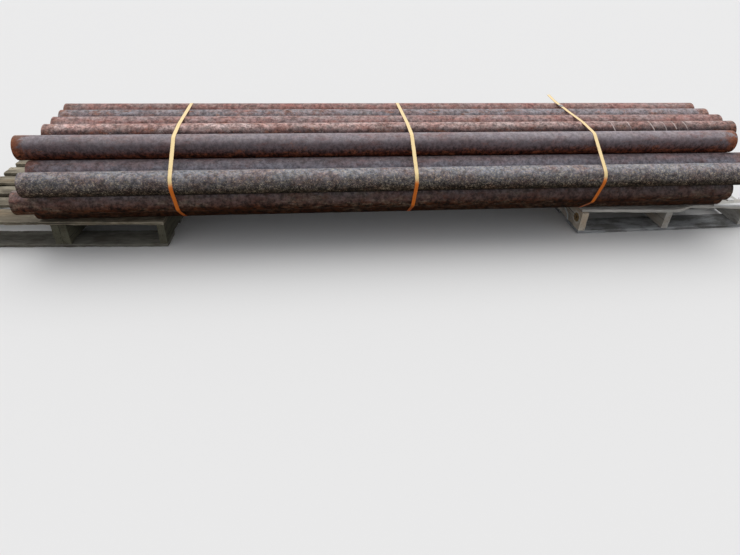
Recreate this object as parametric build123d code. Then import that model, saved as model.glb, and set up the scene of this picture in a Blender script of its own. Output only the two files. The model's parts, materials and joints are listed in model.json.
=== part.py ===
from build123d import *
import os
from dataclasses import dataclass
from math import atan2, cos, degrees, hypot, radians, sin, sqrt

# A strapped bundle of rusty iron pipes that lies across two wooden pallets.
# Millimetres. +X runs along the pipes, +Y from the pile's front to its back, +Z is up.
# The origin is on the floor, in the middle of the bundle's and pallets' common outline.

# Pipe stock
pipe_od = 114.3
pipe_wall = 6.02
pipe_length = 3600.0
pipe_gap = 0.4

# The pile's section: six pipes on the pallets, and each further layer in the grooves of the last.
# The pipes at the two sides lie as the straps hold them, at these angles on the pipe below.
bottom_count = 6
lean_middle = 142.0
lean_upper = 112.0
lean_inner = 130.0
lean_top = 129.0

# How far each pipe that shows was pushed along the pile, and the swing of the hidden ones
push = {
    "top_1": -54.0, "top_2": 29.0, "top_3": 29.0, "top_4": 23.0, "top_5": 8.0,
    "upper_1": 2.0, "upper_2": -1.0, "middle_1": -78.0, "bottom_1": -34.0,
}
hidden_push = 26.0

# Where each strap is along the pile, from its middle, as a share of the pipes' length
left_strap_share = -0.315
middle_strap_share = 0.0022
right_strap_share = 0.2661

# Steel strapping. The lap of the left and middle straps is behind the pile, the right one's on top.
strap_width = 19.0
strap_thickness = 1.0
strap_clearance = 0.3
strap_lap = 110.0
short_tail = 24.0
short_tail_lift = 4.0
long_tail = 142.0
long_tail_lift = 10.0

# The crimped seals on the laps
seal_length = 38.0
seal_wall = 1.0
seal_clearance = 0.2
seal_crimp = 1.6

# Stringers and boards, alike on both pallets
stringer_width = 38.0
stringer_height = 108.0
board_thickness = 19.0
lead_board = 140.0
inner_board = 90.0
top_inner_boards = 5
bottom_inner_boards = 3
pallet_depth = 1016.0

# Each pallet's width and turn, its distance from the strap next to it, its setback from the
# pile's foot, and how far its middle stringer is off the middle and each stringer set back
right_pallet_width = 1016.0
right_pallet_turn = 0.35
right_pallet_space = 6.4
right_pallet_setback = 3.6
right_middle_shift = 8.5
right_stringer_setbacks = (0.0, 3.3, 18.3)
left_pallet_width = 1067.0
left_pallet_turn = -2.75
left_pallet_space = 92.5
left_pallet_setback = -14.0
left_middle_shift = 0.0
left_stringer_setbacks = (0.0, 0.0, 0.0)

# The short stringer that was nailed beside the left pallet's middle one to mend it
companion_length = 400.0
companion_gap = 0.4

# The front board of the right pallet is nailed askew, and a long piece has split off it
front_board_setback = 11.5
front_board_skew = -3.4
split_taper = 122.0
split_depth = 54.0
split_end_depth = 46.0

# The bottom board under it follows the stringers' fronts
bottom_board_skew = 1.07

# The pale wedge of wood that lies on that board's end, its point beside the first bottom pipe
lath_width = 50.0
lath_point = 4.0
lath_thickness = 12.0
lath_length = 240.0
lath_inset = 4.0
lath_clearance = 0.5


@dataclass
class Pallet:
    """A stringer pallet, the strap that it lies beside and what was broken or mended on it."""

    side: int
    strap_x: float
    width: float
    turn: float
    strap_space: float
    setback: float
    middle_shift: float
    stringer_setbacks: tuple
    split: bool
    mended: bool

    @property
    def stringer_places(self):
        """Where each stringer starts across the pallet's width."""
        last = self.width - stringer_width
        return [0, last / 2 + self.middle_shift, last]


left_strap_x = left_strap_share * pipe_length
middle_strap_x = middle_strap_share * pipe_length
right_strap_x = right_strap_share * pipe_length

right_pallet = Pallet(
    side=1,
    strap_x=right_strap_x,
    width=right_pallet_width,
    turn=right_pallet_turn,
    strap_space=right_pallet_space,
    setback=right_pallet_setback,
    middle_shift=right_middle_shift,
    stringer_setbacks=right_stringer_setbacks,
    split=True,
    mended=False,
)
left_pallet = Pallet(
    side=-1,
    strap_x=left_strap_x,
    width=left_pallet_width,
    turn=left_pallet_turn,
    strap_space=left_pallet_space,
    setback=left_pallet_setback,
    middle_shift=left_middle_shift,
    stringer_setbacks=left_stringer_setbacks,
    split=False,
    mended=True,
)

pipe_radius = pipe_od / 2
pitch = pipe_od + pipe_gap
pallet_height = stringer_height + 2 * board_thickness
bottom_z = pallet_height + pipe_gap + pipe_radius
strap_inside = pipe_radius + strap_clearance


def on_pipe(below, angle):
    """The centre of a pipe that touches one below it, at an angle from +Y."""
    return (below[0] + pitch * cos(radians(angle)), below[1] + pitch * sin(radians(angle)))


def in_groove(first, second):
    """The centre of a pipe that rests in the groove between two others."""
    run, rise = second[0] - first[0], second[1] - first[1]
    span = hypot(run, rise)
    height = sqrt(pitch ** 2 - (span / 2) ** 2)
    return (
        (first[0] + second[0]) / 2 - rise / span * height,
        (first[1] + second[1]) / 2 + run / span * height,
    )


def next_layer(layer):
    return [in_groove(a, b) for a, b in zip(layer, layer[1:])]


def other_side(centre):
    return (-centre[0], centre[1])


def pile_layers():
    """The (y, z) of each pipe's centre, from the front of each layer to its back."""
    first_y = -(bottom_count - 1) / 2 * pitch
    bottom = [(first_y + k * pitch, bottom_z) for k in range(bottom_count)]
    middle_nest = next_layer(bottom)
    upper_nest = next_layer(middle_nest)
    top_nest = next_layer(upper_nest)
    middle_side = on_pipe(bottom[0], lean_middle)
    upper_side = on_pipe(middle_side, lean_upper)
    inner_side = on_pipe(middle_nest[0], lean_inner)
    top_side = on_pipe(upper_nest[0], lean_top)
    top_back = (top_nest[-1][0] + pitch, top_nest[-1][1])
    return {
        "bottom": bottom,
        "middle": [middle_side, *middle_nest, other_side(middle_side)],
        "upper": [upper_side, inner_side, *upper_nest, other_side(inner_side), other_side(upper_side)],
        "top": [top_side, *top_nest, top_back],
    }


def turns_left(a, b, c):
    return (b[0] - a[0]) * (c[1] - a[1]) - (b[1] - a[1]) * (c[0] - a[0]) > 1e-6


def chain_round(points):
    """One side of the tight line round some points, which come in order."""
    chain = []
    for point in points:
        while len(chain) > 1 and not turns_left(chain[-2], chain[-1], point):
            chain.pop()
        chain.append(point)
    return chain[:-1]


layers = pile_layers()
centres = sorted(centre for layer in layers.values() for centre in layer)
corners = chain_round(centres) + chain_round(centres[::-1])
foot_y = layers["bottom"][0][0] - pipe_radius


@dataclass
class Run:
    """A straight, free stretch of strap between two pipes of the pile's outline."""

    start: tuple
    end: tuple

    @property
    def length(self):
        return hypot(self.end[0] - self.start[0], self.end[1] - self.start[1])

    @property
    def slope(self):
        return atan2(self.end[1] - self.start[1], self.end[0] - self.start[0])

    def at(self, distance, height):
        """The (y, z) at a distance along the run, and a height over the strap's inside."""
        outward = self.slope + radians(90) * self.outward_side
        out = strap_inside + height
        return (
            self.start[0] + cos(self.slope) * distance + cos(outward) * out,
            self.start[1] + sin(self.slope) * distance + sin(outward) * out,
        )

    @property
    def outward_side(self):
        return -1 if turns_left(self.start, self.end, centres[len(centres) // 2]) else 1


@dataclass
class Strap:
    """A strap's place along the pile, the run with its lap, the lap's middle and its free tail."""

    x: float
    run: Run
    lap_middle: float
    tail: float
    tail_lift: float


back_run = Run(layers["upper"][-1], layers["top"][-1])
top_run = Run(layers["top"][1], layers["top"][-1])
straps = {
    "left": Strap(left_strap_x, back_run, back_run.length / 2, short_tail, short_tail_lift),
    "middle": Strap(middle_strap_x, back_run, back_run.length / 2, short_tail, short_tail_lift),
    "right": Strap(right_strap_x, top_run, top_run.length - pitch / 2, long_tail, long_tail_lift),
}


def near_corner(pallet):
    """The (x, y) of a pallet's front corner, on the side of the pile's middle."""
    space = strap_width / 2 + pallet.strap_space
    return (pallet.strap_x + pallet.side * space, foot_y + pallet.setback)


def outline(pallet):
    """The (x, y) corners of a turned pallet."""
    x0, y0 = near_corner(pallet)
    c, s = cos(radians(pallet.turn)), sin(radians(pallet.turn))
    far = pallet.width * pallet.side
    return [
        (x0 + x * c - y * s, y0 + x * s + y * c)
        for x, y in ((0, 0), (far, 0), (far, pallet_depth), (0, pallet_depth))
    ]


def middle(values):
    return (min(values) + max(values)) / 2


ground_points = outline(right_pallet) + outline(left_pallet)
side_reach = layers["upper"][-1][0] + strap_inside + strap_thickness
origin_x = middle([x for x, y in ground_points])
origin_y = middle([y for x, y in ground_points] + [-side_reach, side_reach])


def placed(shape):
    """Moves a shape from the pile's own centre line to the part's origin."""
    return Pos(-origin_x, -origin_y, 0) * shape


def save(name, *solids):
    """Writes one named sub-part."""
    shape = solids[0] if len(solids) == 1 else Compound(children=list(solids))
    export_step(shape, f"parts/{name}.step")


def pipe(start_x, y, z):
    """A length of square-cut pipe from its left end."""
    ring = Circle(pipe_radius) - Circle(pipe_radius - pipe_wall)
    return extrude(Plane(origin=(start_x, y, z), z_dir=(1, 0, 0)) * ring, pipe_length)


def make_pipes():
    count = 0
    for layer, places in layers.items():
        for number, (y, z) in enumerate(places, start=1):
            name = f"{layer}_{number}"
            shift = push.get(name, hidden_push * sin(2.4 * count))
            save(f"pipe_{name}", placed(pipe(shift - pipe_length / 2, y, z)))
            count += 1


def strap_body(strap):
    """A strap pulled tight round the pile, with its lap and its free tail."""
    pile = make_face(Polyline(*corners, close=True))
    outer = offset(pile, amount=strap_inside + strap_thickness, kind=Kind.ARC)
    inner = offset(pile, amount=strap_inside, kind=Kind.ARC)
    lap_start, lap_end = strap.lap_middle - strap_lap / 2, strap.lap_middle + strap_lap / 2
    tail_end, lift = lap_end + strap.tail, strap.tail_lift
    under, over = strap_thickness, 2 * strap_thickness
    at = strap.run.at
    lap = make_face(Polyline(
        at(lap_start, under),
        at(lap_end, under),
        at(tail_end, under + lift),
        at(tail_end, over + lift),
        at(lap_end, over),
        at(lap_start, over),
        close=True,
    ))
    across = Plane(origin=(strap.x - strap_width / 2, 0, 0), x_dir=(0, 1, 0), z_dir=(1, 0, 0))
    return extrude(across * ((outer - inner) + lap), strap_width)


def seal_body(strap):
    """The crimped sleeve round the two layers of a lap."""
    thick = 2 * (strap_thickness + seal_clearance)
    wide = strap_width + 2 * seal_clearance
    outside = thick + 2 * seal_wall
    edge = wide / 2 + seal_wall
    sleeve = Box(2 * edge, seal_length, outside) - Box(wide, seal_length, thick)
    for side in (-1, 1):
        for place in (-seal_length / 4, seal_length / 4):
            sleeve -= Pos(side * edge, place, 0) * Cylinder(seal_crimp / 2, outside)
    centre = strap.run.at(strap.lap_middle, strap_thickness)
    return Pos(strap.x, *centre) * Rot(degrees(strap.run.slope), 0, 0) * sleeve


def make_straps():
    for side, strap in straps.items():
        save(f"strap_{side}", placed(strap_body(strap)))
        save(f"seal_{side}", placed(seal_body(strap)))


def board_rows(inner_count):
    """The (start, width) across a pallet's depth of its lead boards and those between."""
    widths = [lead_board] + [inner_board] * inner_count + [lead_board]
    gap = (pallet_depth - sum(widths)) / (len(widths) - 1)
    return [(sum(widths[:k]) + gap * k, width) for k, width in enumerate(widths)]


def slab(x, y, z, dx, dy, dz):
    return Pos(x, y, z) * Box(dx, dy, dz, align=(Align.MIN, Align.MIN, Align.MIN))


def split_board(width, z):
    """The skewed front board, with a long piece gone from its edge past the middle stringer."""
    skew = radians(-front_board_skew)
    length = (width - lead_board * sin(skew)) / cos(skew)
    start = (width + stringer_width) / 2
    edge = Polyline(
        (0, 0),
        (start, 0),
        (start + split_taper * 0.45, split_depth * 0.3),
        (start + split_taper, split_depth * 0.93),
        (start + split_taper * 2, split_depth),
        (length, split_end_depth),
        (length, lead_board),
        (0, lead_board),
        close=True,
    )
    board = extrude(make_face(edge), board_thickness)
    return Pos(0, front_board_setback, z) * Rot(0, 0, front_board_skew) * board


def make_pallet(name, pallet):
    """One pallet: its stringers in their own nodes, its top boards in one and its bottom boards in one."""
    left = 0 if pallet.side > 0 else -pallet.width
    turned = Pos(*near_corner(pallet), 0) * Rot(0, 0, pallet.turn) * Pos(left, 0, 0)
    width = pallet.width
    for number, (x, y) in enumerate(zip(pallet.stringer_places, pallet.stringer_setbacks), start=1):
        stringer = slab(x, y, board_thickness, stringer_width, pallet_depth, stringer_height)
        save(f"{name}_stringer_{number}", placed(turned * stringer))
    if pallet.mended:
        x = pallet.stringer_places[1] + stringer_width + companion_gap
        companion = slab(x, 0, board_thickness, stringer_width, companion_length, stringer_height)
        save(f"{name}_companion_stringer", placed(turned * companion))
    top = board_thickness + stringer_height
    for level, z, inner_count in (("top", top, top_inner_boards), ("bottom", 0, bottom_inner_boards)):
        boards = [slab(0, y, z, width, dy, board_thickness) for y, dy in board_rows(inner_count)]
        if pallet.split:
            boards[0] = split_board(width, z) if level == "top" else Rot(0, 0, bottom_board_skew) * boards[0]
        save(f"{name}_{level}_boards", *(placed(turned * board) for board in boards))


def make_lath():
    """The wedge of wood on the right pallet's front board, its side close to a bottom pipe's end."""
    drop = pipe_radius + pipe_gap - lath_thickness
    reach = sqrt(pipe_radius ** 2 - drop ** 2)
    point_x = near_corner(right_pallet)[0] + right_pallet.width - lath_inset - lath_length
    along = (pipe_length / 2 + push["bottom_1"] - point_x) / lath_length
    half_there = (lath_point + (lath_width - lath_point) * along) / 2
    middle_y = layers["bottom"][0][0] - reach - lath_clearance - half_there
    wedge = Polyline(
        (0, -lath_point / 2),
        (lath_length, -lath_width / 2),
        (lath_length, lath_width / 2),
        (0, lath_point / 2),
        close=True,
    )
    lath = Pos(point_x, middle_y, pallet_height) * extrude(make_face(wedge), lath_thickness)
    save("loose_lath", placed(lath))


os.makedirs("parts", exist_ok=True)
make_pipes()
make_straps()
make_pallet("right_pallet", right_pallet)
make_pallet("left_pallet", left_pallet)
make_lath()
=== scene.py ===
"""A strapped bundle of rusty iron pipes on two weathered pallets, dressed over its frame."""

from __future__ import annotations

import json
import logging
import math
from collections.abc import Callable, Sequence
from dataclasses import dataclass, field
from enum import Enum, IntEnum
from random import Random

import bpy
from mathutils import Matrix, Vector

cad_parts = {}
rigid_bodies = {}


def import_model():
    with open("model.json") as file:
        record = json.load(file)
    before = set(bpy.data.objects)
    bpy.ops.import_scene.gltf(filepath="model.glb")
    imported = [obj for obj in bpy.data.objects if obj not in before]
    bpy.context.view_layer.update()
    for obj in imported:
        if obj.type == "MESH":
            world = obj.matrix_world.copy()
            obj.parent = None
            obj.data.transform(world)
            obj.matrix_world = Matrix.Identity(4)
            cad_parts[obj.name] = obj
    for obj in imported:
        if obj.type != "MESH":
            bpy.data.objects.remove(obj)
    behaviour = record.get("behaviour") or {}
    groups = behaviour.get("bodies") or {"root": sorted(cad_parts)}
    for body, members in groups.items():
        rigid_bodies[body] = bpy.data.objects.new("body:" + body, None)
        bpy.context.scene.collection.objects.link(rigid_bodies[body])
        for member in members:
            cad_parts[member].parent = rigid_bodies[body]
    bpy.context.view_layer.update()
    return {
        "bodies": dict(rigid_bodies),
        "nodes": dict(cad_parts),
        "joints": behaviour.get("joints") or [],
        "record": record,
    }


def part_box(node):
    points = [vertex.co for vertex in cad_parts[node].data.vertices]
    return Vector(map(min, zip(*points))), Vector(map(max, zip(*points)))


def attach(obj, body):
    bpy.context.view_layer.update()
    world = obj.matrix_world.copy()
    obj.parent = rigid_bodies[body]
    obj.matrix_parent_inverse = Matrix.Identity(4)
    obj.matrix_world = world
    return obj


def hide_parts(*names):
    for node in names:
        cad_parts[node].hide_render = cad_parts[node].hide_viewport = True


LOG = logging.getLogger("pipe_bundle")

Colour = tuple[float, float, float]
Material = bpy.types.Material
Outputs = bpy.types.NodeOutputs
Pairs = Sequence[tuple[float, float]]
Piece = bpy.types.Object
Socket = bpy.types.NodeSocket
Tree = bpy.types.NodeTree


class Slot(Enum):
    """The record's material slots."""

    PIPE = "pipe_iron"
    STRAP = "strap_paint"
    SEAL = "seal_steel"
    TIMBER = "pallet_wood"
    PALE_TIMBER = "pale_wood"


class TreeKind(Enum):
    """What a node group is for."""

    SHADER = "ShaderNodeTree"
    GEOMETRY = "GeometryNodeTree"


class Seed(IntEnum):
    """Where each kind of piece starts its random numbers."""

    NAIL_IRON = 71
    PIPES = 100
    STRAPS = 200
    SEALS = 300
    BENT_STRIP = 310
    LOOSE_WOOD = 401
    RIGHT_PALLET = 500
    LEFT_PALLET = 600


class Wiring:
    """Places and joins the nodes of one shader or geometry tree."""

    def __init__(self, tree: Tree) -> None:
        """Starts on a tree."""
        self.tree = tree

    def feed(self, socket: Socket, value: object) -> None:
        """Joins a socket to another one, or sets the socket's own value.

        Args:
            socket: The input.
            value: An output socket, a number, a colour, a vector or a data block.
        """
        if isinstance(value, Socket):
            self.tree.links.new(value, socket)
        elif socket.type == "RGBA":
            socket.default_value = (*value, 1.0)
        else:
            socket.default_value = value

    def add(self, kind: str, inputs: dict | None = None, **settings: object) -> bpy.types.Node:
        """Adds one node.

        Args:
            kind: The node's type name.
            inputs: Values or sockets by input name or index.
            settings: The node's own properties.

        Returns:
            The node.
        """
        node = self.tree.nodes.new(kind)
        for name, value in settings.items():
            setattr(node, name, value)
        for name, value in (inputs or {}).items():
            self.feed(node.inputs[name], value)
        return node

    def out(
        self, kind: str, inputs: dict | None = None, output: str | int = 0, **settings: object
    ) -> Socket:
        """One output of a new node."""
        return self.add(kind, inputs, **settings).outputs[output]

    def group(self, tree: Tree, **inputs: object) -> Outputs:
        """The outputs of a shared shader group, placed with its own values."""
        return self.add("ShaderNodeGroup", inputs, node_tree=tree).outputs

    def math(self, operation: str, first: object, second: object, clamp: bool = False) -> Socket:
        """One arithmetic step."""
        return self.out("ShaderNodeMath", {0: first, 1: second}, operation=operation, use_clamp=clamp)

    def plus(self, first: object, second: object, clamp: bool = False) -> Socket:
        """A sum."""
        return self.math("ADD", first, second, clamp)

    def minus(self, first: object, second: object, clamp: bool = False) -> Socket:
        """A difference."""
        return self.math("SUBTRACT", first, second, clamp)

    def times(self, first: object, second: object, clamp: bool = False) -> Socket:
        """A product."""
        return self.math("MULTIPLY", first, second, clamp)

    def size(self, number: object) -> Socket:
        """A number without its sign."""
        return self.math("ABSOLUTE", number, 0.0)

    def vector_math(self, operation: str, first: object, second: object) -> Socket:
        """One vector step."""
        return self.out("ShaderNodeVectorMath", {0: first, 1: second}, operation=operation)

    def length(self, vector: Socket) -> Socket:
        """The length of a vector."""
        return self.out("ShaderNodeVectorMath", {0: vector}, "Value", operation="LENGTH")

    def toned(self, vector: Socket, factor: Socket) -> Socket:
        """A colour or a vector times a number."""
        return self.out("ShaderNodeVectorMath", {0: vector, 3: factor}, operation="SCALE")

    def blend(self, factor: object, first: object, second: object, mode: str = "MIX") -> Socket:
        """A mix of two colours."""
        inputs = {0: factor, 6: first, 7: second}
        return self.out("ShaderNodeMix", inputs, 2, data_type="RGBA", blend_type=mode, clamp_factor=True)

    def ramp(
        self, value: Socket, low: object, high: object, start: object = 0.0, end: object = 1.0
    ) -> Socket:
        """A smooth step, from start where a value is at low to end where it is at high."""
        inputs = {0: value, 1: low, 2: high, 3: start, 4: end}
        return self.out("ShaderNodeMapRange", inputs, interpolation_type="SMOOTHSTEP")

    def noise(self, vector: Socket, scale: object, detail: float, roughness: object = 0.55) -> Socket:
        """The value of a noise texture."""
        inputs = {"Vector": vector, "Scale": scale, "Detail": detail, "Roughness": roughness}
        return self.out("ShaderNodeTexNoise", inputs)

    def scaled(self, vector: Socket, *scale: float) -> Socket:
        """A vector scaled on each axis."""
        return self.out("ShaderNodeMapping", {"Vector": vector, "Scale": scale})

    def attribute(self, name: str, output: str = "Fac") -> Socket:
        """A mesh attribute read in a shader."""
        return self.out("ShaderNodeAttribute", None, output, attribute_name=name)

    def up(self) -> Socket:
        """How far the surface faces up, from -1 to 1."""
        return self.out("ShaderNodeSeparateXYZ", {0: self.out("ShaderNodeTexCoord", None, "Normal")}, 2)

    def mark(self, geometry: Socket, name: str, value: Socket) -> Socket:
        """Stores a number on each point, under a name that shaders read."""
        inputs = {"Geometry": geometry, "Name": name, "Value": value}
        return self.out("GeometryNodeStoreNamedAttribute", inputs, data_type="FLOAT", domain="POINT")

    def surface(
        self, colour: Socket, rough: Socket, bump: tuple[Socket, float, float], **more: object
    ) -> None:
        """Ends a material in its shader.

        Args:
            colour: The base colour.
            rough: The roughness.
            bump: The height, with its strength and its distance in metres.
            more: Other inputs of the shader, with low lines for the spaces in their names.
        """
        normal = self.out("ShaderNodeBump", dict(zip(("Height", "Strength", "Distance"), bump)))
        inputs = {"Base Color": colour, "Roughness": rough, "Normal": normal}
        inputs |= {name.replace("_", " "): value for name, value in more.items()}
        self.add("ShaderNodeOutputMaterial", {"Surface": self.out("ShaderNodeBsdfPrincipled", inputs)})


@dataclass
class TreeParts:
    """A new node group: its wiring and its two ends."""

    wiring: Wiring
    inputs: Outputs
    outputs: bpy.types.NodeInputs

    def close(self, **results: Socket) -> Tree:
        """Joins the results to the group's outputs.

        Args:
            results: What each named output gets.

        Returns:
            The finished group.
        """
        for label, value in results.items():
            self.wiring.feed(self.outputs[label], value)
        return self.wiring.tree

    def dress(self, geometry: Socket, crease: float) -> Tree:
        """Ends a geometry tree: smooth faces, sharp creases, real geometry and the material.

        Args:
            geometry: What the tree has made.
            crease: The angle past which an edge stays sharp, in radians.

        Returns:
            The finished tree.
        """
        w = self.wiring
        smooth = {"Geometry": geometry, "Shade Smooth": True}
        sharp = {
            "Geometry": w.out("GeometryNodeSetShadeSmooth", smooth, domain="FACE"),
            "Selection": w.math("GREATER_THAN", w.out("GeometryNodeInputMeshEdgeAngle"), crease),
            "Shade Smooth": False,
        }
        creased = w.out("GeometryNodeSetShadeSmooth", sharp, domain="EDGE")
        real = w.out("GeometryNodeRealizeInstances", {"Geometry": creased})
        dressed = {"Geometry": real, "Material": self.inputs["Material"]}
        return self.close(Geometry=w.out("GeometryNodeSetMaterial", dressed))


def new_tree(name: str, kind: TreeKind, inputs: dict[str, object], *outputs: str) -> TreeParts:
    """Starts a node group with named inputs and outputs.

    Args:
        name: The group's name.
        kind: What the group is for.
        inputs: Each input's default number, or its socket kind where it has none.
        outputs: The outputs' names, all of them numbers apart from Geometry.

    Returns:
        The group's wiring and its two ends.
    """
    tree = bpy.data.node_groups.new(name, kind.value)
    for label, value in inputs.items():
        socket = {float: "Float", int: "Int"}.get(type(value), value)
        item = tree.interface.new_socket(label, in_out="INPUT", socket_type=f"NodeSocket{socket}")
        if socket != value:
            item.default_value = value
    for label in outputs:
        socket = "Geometry" if label == "Geometry" else "Float"
        tree.interface.new_socket(label, in_out="OUTPUT", socket_type=f"NodeSocket{socket}")
    w = Wiring(tree)
    return TreeParts(w, w.add("NodeGroupInput").outputs, w.add("NodeGroupOutput").inputs)


class SurfaceEffects:
    """The shader groups that more than one finish uses, each built once."""

    def __init__(self) -> None:
        """Builds the groups."""
        self.blotches = self.build_blotches()
        self.grit = self.build_grit()
        self.facing = self.build_facing()
        self.dust = self.build_dust()
        self.wear = self.build_wear()
        self.timber_grain = self.build_timber_grain()

    def patches(self, w: Wiring, place: Socket, ragged: float = 0.64, **inputs: object) -> Outputs:
        """The outputs of the blotches, placed in a material."""
        return w.group(self.blotches, Vector=place, Raggedness=ragged, **inputs)

    def build_blotches(self) -> Tree:
        """Irregular patches that cover a share of the surface, drawn out along X.

        Returns:
            The group, with the outputs Mask and Shade.
        """
        numbers = {"Scale": 8.0, "Stretch": 0.5, "Amount": 0.5, "Softness": 0.05, "Raggedness": 0.64}
        parts = new_tree("Blotches", TreeKind.SHADER, {"Vector": "Vector", **numbers}, "Mask", "Shade")
        w, source = parts.wiring, parts.inputs
        drawn = w.out("ShaderNodeCombineXYZ", {0: source["Stretch"], 1: 1.0, 2: 1.0})
        place = w.vector_math("MULTIPLY", source["Vector"], drawn)
        shade = w.noise(place, source["Scale"], 8.0, source["Raggedness"])
        limit = w.minus(0.74, w.times(source["Amount"], 0.48))
        mask = w.ramp(shade, w.minus(limit, source["Softness"]), w.plus(limit, source["Softness"]))
        return parts.close(Mask=mask, Shade=shade)

    def build_grit(self) -> Tree:
        """Fine grains and pits of scale.

        Returns:
            The group, with the outputs Specks, Pits and Height.
        """
        inputs = {"Vector": "Vector", "Scale": 220.0, "Amount": 0.3}
        parts = new_tree("Grit", TreeKind.SHADER, inputs, "Specks", "Pits", "Height")
        w, source = parts.wiring, parts.inputs
        fine = w.noise(source["Vector"], source["Scale"], 3.0, 0.6)
        coarse = w.noise(source["Vector"], w.times(source["Scale"], 0.37), 5.0, 0.7)
        both = w.plus(w.times(fine, 0.5), w.times(coarse, 0.5))
        limit = w.minus(0.68, w.times(source["Amount"], 0.22))
        specks = w.ramp(both, limit, w.plus(limit, 0.05))
        return parts.close(Specks=specks, Pits=w.ramp(coarse, 0.42, 0.3), Height=both)

    def build_facing(self) -> Tree:
        """How far a surface faces up or down, with a wandering border.

        Returns:
            The group, with the outputs Crown, Belly and Up.
        """
        inputs = {"Vector": "Vector", "Wander": 0.5}
        parts = new_tree("Facing", TreeKind.SHADER, inputs, "Crown", "Belly", "Up")
        w, source = parts.wiring, parts.inputs
        up = w.up()
        wander = w.noise(w.scaled(source["Vector"], 0.35, 1.0, 1.0), 9.0, 5.0, 0.6)
        moved = w.plus(up, w.times(w.minus(wander, 0.5), source["Wander"]))
        return parts.close(Crown=w.ramp(moved, 0.3, 1.02), Belly=w.ramp(moved, 0.35, -0.55), Up=up)

    def build_dust(self) -> Tree:
        """Dust that settles where a surface faces up.

        Returns:
            The group, with the output Mask.
        """
        inputs = {"Vector": "Vector", "Amount": 0.4, "Patch": 14.0}
        parts = new_tree("Settled dust", TreeKind.SHADER, inputs, "Mask")
        w, source = parts.wiring, parts.inputs
        broken = w.ramp(w.noise(source["Vector"], source["Patch"], 7.0, 0.68), 0.38, 0.66)
        settled = w.times(w.ramp(w.up(), 0.35, 1.0), broken)
        return parts.close(Mask=w.times(settled, source["Amount"], clamp=True))

    def build_wear(self) -> Tree:
        """Wear within a width of an edge, broken by noise.

        Returns:
            The group, with the output Mask.
        """
        inputs = {"Vector": "Vector", "Distance": 0.0, "Width": 0.004, "Amount": 0.6, "Scale": 60.0}
        parts = new_tree("Edge wear", TreeKind.SHADER, inputs, "Mask")
        w, source = parts.wiring, parts.inputs
        near = w.minus(1.0, w.math("DIVIDE", source["Distance"], source["Width"]), clamp=True)
        chips = w.noise(source["Vector"], source["Scale"], 6.0, 0.7)
        level = w.plus(w.times(near, 0.5), w.minus(chips, 0.5))
        limit = w.minus(0.5, w.times(source["Amount"], 0.45))
        mask = w.ramp(level, limit, w.plus(limit, 0.12))
        return parts.close(Mask=w.times(mask, w.ramp(near, 0.0, 0.15)))

    def build_timber_grain(self) -> Tree:
        """Weathered grain along a board: raised fibres, dark checks and rings.

        Returns:
            The group, with the outputs Fibre, Check, Ring, Tone and Height.
        """
        outputs = ("Fibre", "Check", "Ring", "Tone", "Height")
        parts = new_tree("Timber grain", TreeKind.SHADER, {"Board": "Vector"}, *outputs)
        w, place = parts.wiring, parts.inputs["Board"]
        swirl = {"Vector": w.scaled(place, 2.2, 9.0, 9.0), "Scale": 1.0, "Detail": 3.0}
        bend = {0: w.out("ShaderNodeTexNoise", swirl, 1), 1: (0.0, 0.02, 0.02), 2: place}
        bent = w.out("ShaderNodeVectorMath", bend, operation="MULTIPLY_ADD")
        fibre = w.noise(w.scaled(bent, 9.0, 420.0, 420.0), 1.0, 5.0, 0.65)
        check = w.ramp(w.noise(w.scaled(bent, 3.5, 150.0, 150.0), 1.0, 3.0, 0.5), 0.40, 0.30)
        rings = {"Scale": 1.0, "Distortion": 2.4, "Detail": 3.0, "Detail Scale": 1.4}
        rings["Vector"] = w.scaled(bent, 0.9, 34.0, 30.0)
        return parts.close(
            Fibre=fibre,
            Check=check,
            Ring=w.out("ShaderNodeTexWave", rings, 1, bands_direction="Y"),
            Tone=w.noise(w.scaled(place, 2.5, 7.0, 7.0), 1.0, 5.0, 0.6),
            Height=w.minus(fibre, w.times(check, 1.2)),
        )


def new_material(name: str) -> tuple[Material, Wiring]:
    """Starts an empty node material.

    Args:
        name: The material's name.

    Returns:
        The material and the wiring of its tree.
    """
    material = bpy.data.materials.new(name)
    material.use_nodes = True
    material.node_tree.nodes.clear()
    return material, Wiring(material.node_tree)


def seeded_place(w: Wiring, seed: int) -> Socket:
    """Object coordinates moved by a seeded distance, so that no two pieces share a pattern.

    Args:
        w: The material's wiring.
        seed: What chooses the distance.

    Returns:
        The moved coordinates.
    """
    chance = Random(seed)
    shift = tuple(chance.uniform(-20.0, 20.0) for _ in range(3))
    return w.vector_math("ADD", w.out("ShaderNodeTexCoord", None, "Object"), shift)


def shade_of(colour: Colour, factor: float) -> Colour:
    """A colour made darker or lighter."""
    return tuple(factor * part for part in colour)


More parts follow.
